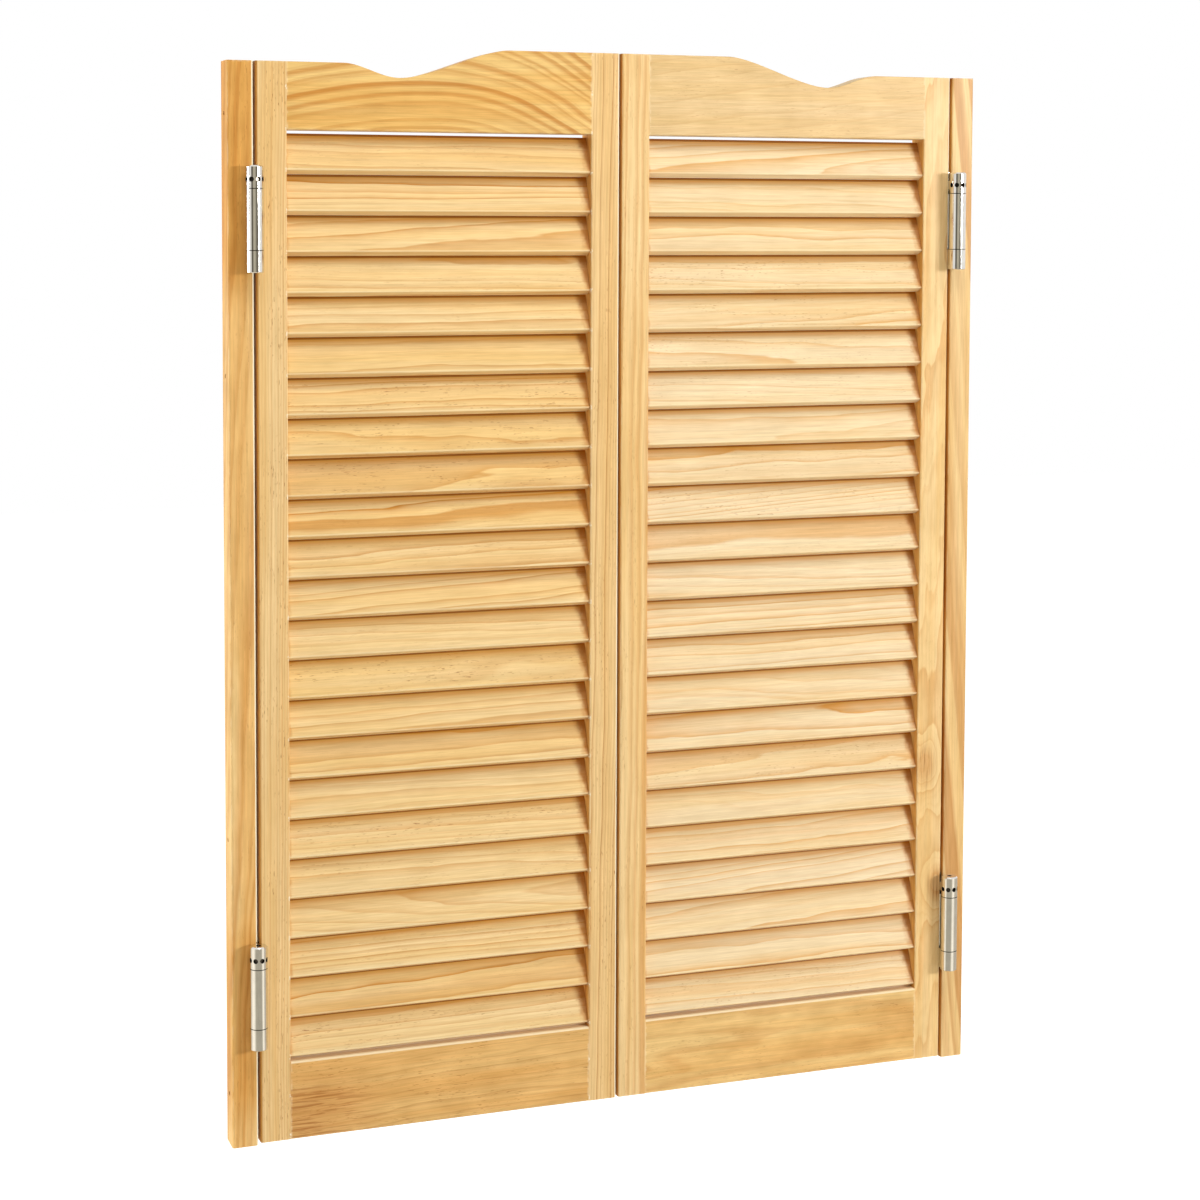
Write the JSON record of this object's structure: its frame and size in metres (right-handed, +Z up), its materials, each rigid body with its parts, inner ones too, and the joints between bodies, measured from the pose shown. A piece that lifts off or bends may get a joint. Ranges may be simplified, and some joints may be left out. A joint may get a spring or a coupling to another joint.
{
  "type": "louvered cafe swinging doors",
  "caption": "Pair of pine louvered swinging half doors with scalloped top rails, hung from narrow side strips on double-action spring hinges.",
  "frame": {"origin": "level with the feet of the side strips, on the line where the two leaves meet, in the middle of the doors' thickness", "axes": "+X across the doorway to the right as seen from the front, +Y through the doorway to the back (the louvres' upper edges lean this way), +Z up"},
  "size_m": [0.796, 0.0698, 1.067],
  "materials": {
    "pine": "clear satin varnish over knotty pine",
    "dowel_wood": "raw beech",
    "satin_nickel": "satin nickel plate",
    "steel": "plain bright steel"
  },
  "bodies": {
    "doorway_strips": {"jamb_lock_pins": "satin_nickel", "jamb_screws": "steel", "left_lower_jamb_cap": "satin_nickel", "left_lower_jamb_flange": "satin_nickel", "left_lower_jamb_spindle": "steel", "left_lower_jamb_spring": "steel", "left_strip": "pine", "left_upper_jamb_cap": "satin_nickel", "left_upper_jamb_flange": "satin_nickel", "left_upper_jamb_spindle": "steel", "left_upper_jamb_spring": "steel", "right_lower_jamb_cap": "satin_nickel", "right_lower_jamb_flange": "satin_nickel", "right_lower_jamb_spindle": "steel", "right_lower_jamb_spring": "steel", "right_strip": "pine", "right_upper_jamb_cap": "satin_nickel", "right_upper_jamb_flange": "satin_nickel", "right_upper_jamb_spindle": "steel", "right_upper_jamb_spring": "steel"},
    "left_webs": {"left_lower_web": "satin_nickel", "left_upper_web": "satin_nickel"},
    "left_leaf": {"left_bottom_rail": "pine", "left_dowels": "dowel_wood", "left_hinge_stile": "pine", "left_leaf_lock_pins": "satin_nickel", "left_leaf_screws": "steel", "left_louvres": "pine", "left_lower_leaf_cap": "satin_nickel", "left_lower_leaf_flange": "satin_nickel", "left_lower_leaf_spindle": "steel", "left_lower_leaf_spring": "steel", "left_meeting_stile": "pine", "left_top_rail": "pine", "left_upper_leaf_cap": "satin_nickel", "left_upper_leaf_flange": "satin_nickel", "left_upper_leaf_spindle": "steel", "left_upper_leaf_spring": "steel"},
    "right_webs": {"right_lower_web": "satin_nickel", "right_upper_web": "satin_nickel"},
    "right_leaf": {"right_bottom_rail": "pine", "right_dowels": "dowel_wood", "right_hinge_stile": "pine", "right_leaf_lock_pins": "satin_nickel", "right_leaf_screws": "steel", "right_louvres": "pine", "right_lower_leaf_cap": "satin_nickel", "right_lower_leaf_flange": "satin_nickel", "right_lower_leaf_spindle": "steel", "right_lower_leaf_spring": "steel", "right_meeting_stile": "pine", "right_top_rail": "pine", "right_upper_leaf_cap": "satin_nickel", "right_upper_leaf_flange": "satin_nickel", "right_upper_leaf_spindle": "steel", "right_upper_leaf_spring": "steel"}
  },
  "joints": [
    {"name": "left_front_barrel", "type": "hinge", "parent": "doorway_strips", "child": "left_webs", "pos_m": [-0.3742, -0.02635, 0.5255], "axis": [0, 0, -1], "range_deg": [0, 90], "stiffness_Nm_per_rad": 1.4, "springref_deg": -51.57},
    {"name": "left_rear_barrel", "type": "hinge", "parent": "left_webs", "child": "left_leaf", "pos_m": [-0.3742, 0.02635, 0.5255], "axis": [0, 0, 1], "range_deg": [0, 90], "stiffness_Nm_per_rad": 1.4, "springref_deg": -51.57},
    {"name": "right_rear_barrel", "type": "hinge", "parent": "doorway_strips", "child": "right_webs", "pos_m": [0.3742, 0.02635, 0.5255], "axis": [0, 0, -1], "range_deg": [0, 90], "stiffness_Nm_per_rad": 1.4, "springref_deg": -51.57},
    {"name": "right_front_barrel", "type": "hinge", "parent": "right_webs", "child": "right_leaf", "pos_m": [0.3742, -0.02635, 0.5255], "axis": [0, 0, 1], "range_deg": [0, 90], "stiffness_Nm_per_rad": 1.4, "springref_deg": -51.57}
  ]
}
